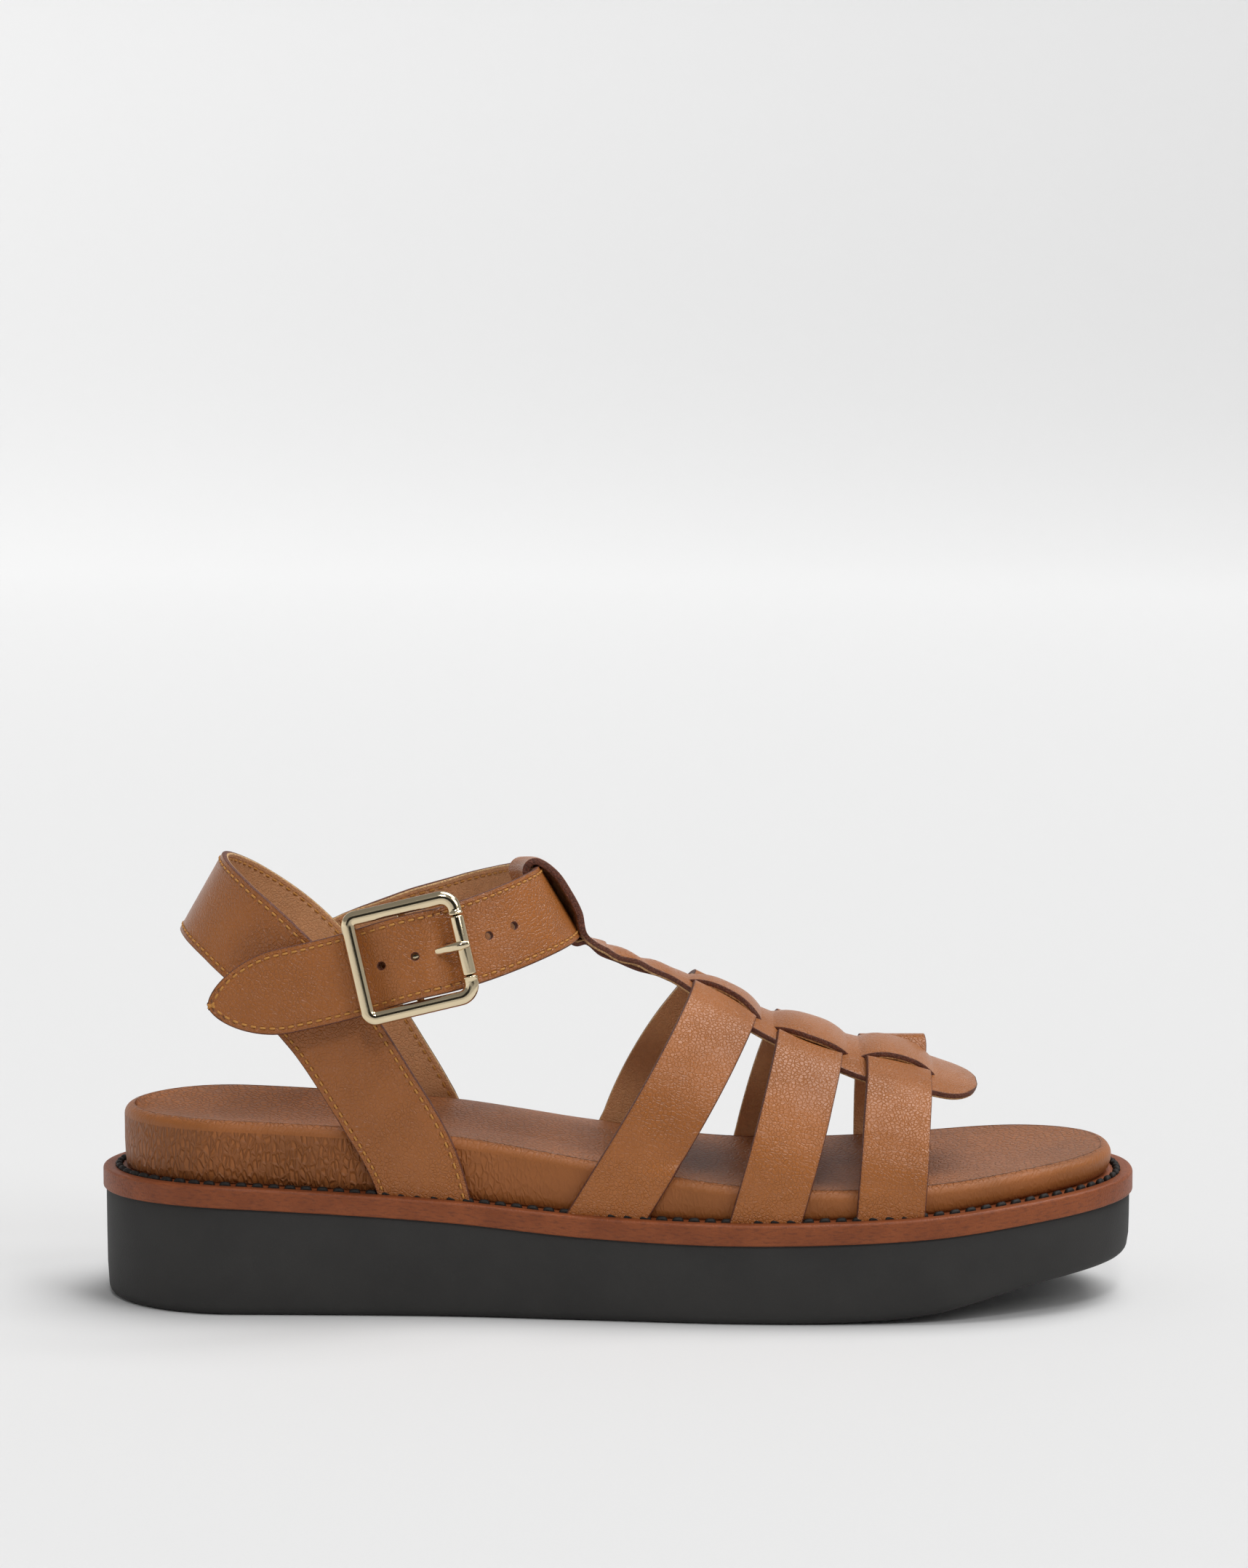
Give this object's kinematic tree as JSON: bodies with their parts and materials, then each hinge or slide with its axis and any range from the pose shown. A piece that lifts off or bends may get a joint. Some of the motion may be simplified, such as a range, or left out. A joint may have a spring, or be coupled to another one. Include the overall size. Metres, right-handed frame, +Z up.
{
  "type": "fisherman sandal",
  "caption": "Right leather fisherman sandal on a flat platform sole: cross bands woven through a central tongue, with a buckled ankle strap.",
  "frame": {"origin": "on the floor, under the middle of the sole's length and width", "axes": "+X towards the toe, +Y towards the inner side of the foot, +Z up"},
  "size_m": [0.265, 0.097, 0.1137],
  "materials": {
    "outsole": "matte charcoal foamed rubber",
    "welt": "reddish-brown strip leather",
    "footbed": "fine pebbled tan leather over a moulded core",
    "upper": "smooth tan leather with dark cut edges",
    "buckle": "pale gold plating, polished"
  },
  "bodies": {
    "root": {"outsole": "outsole", "welt": "welt", "footbed": "footbed", "upper_vamp": "upper", "upper_quarter": "upper", "buckle_frame": "buckle", "buckle_roller": "buckle", "buckle_prong": "buckle", "buckle_chape": "upper"}
  },
  "joints": []
}
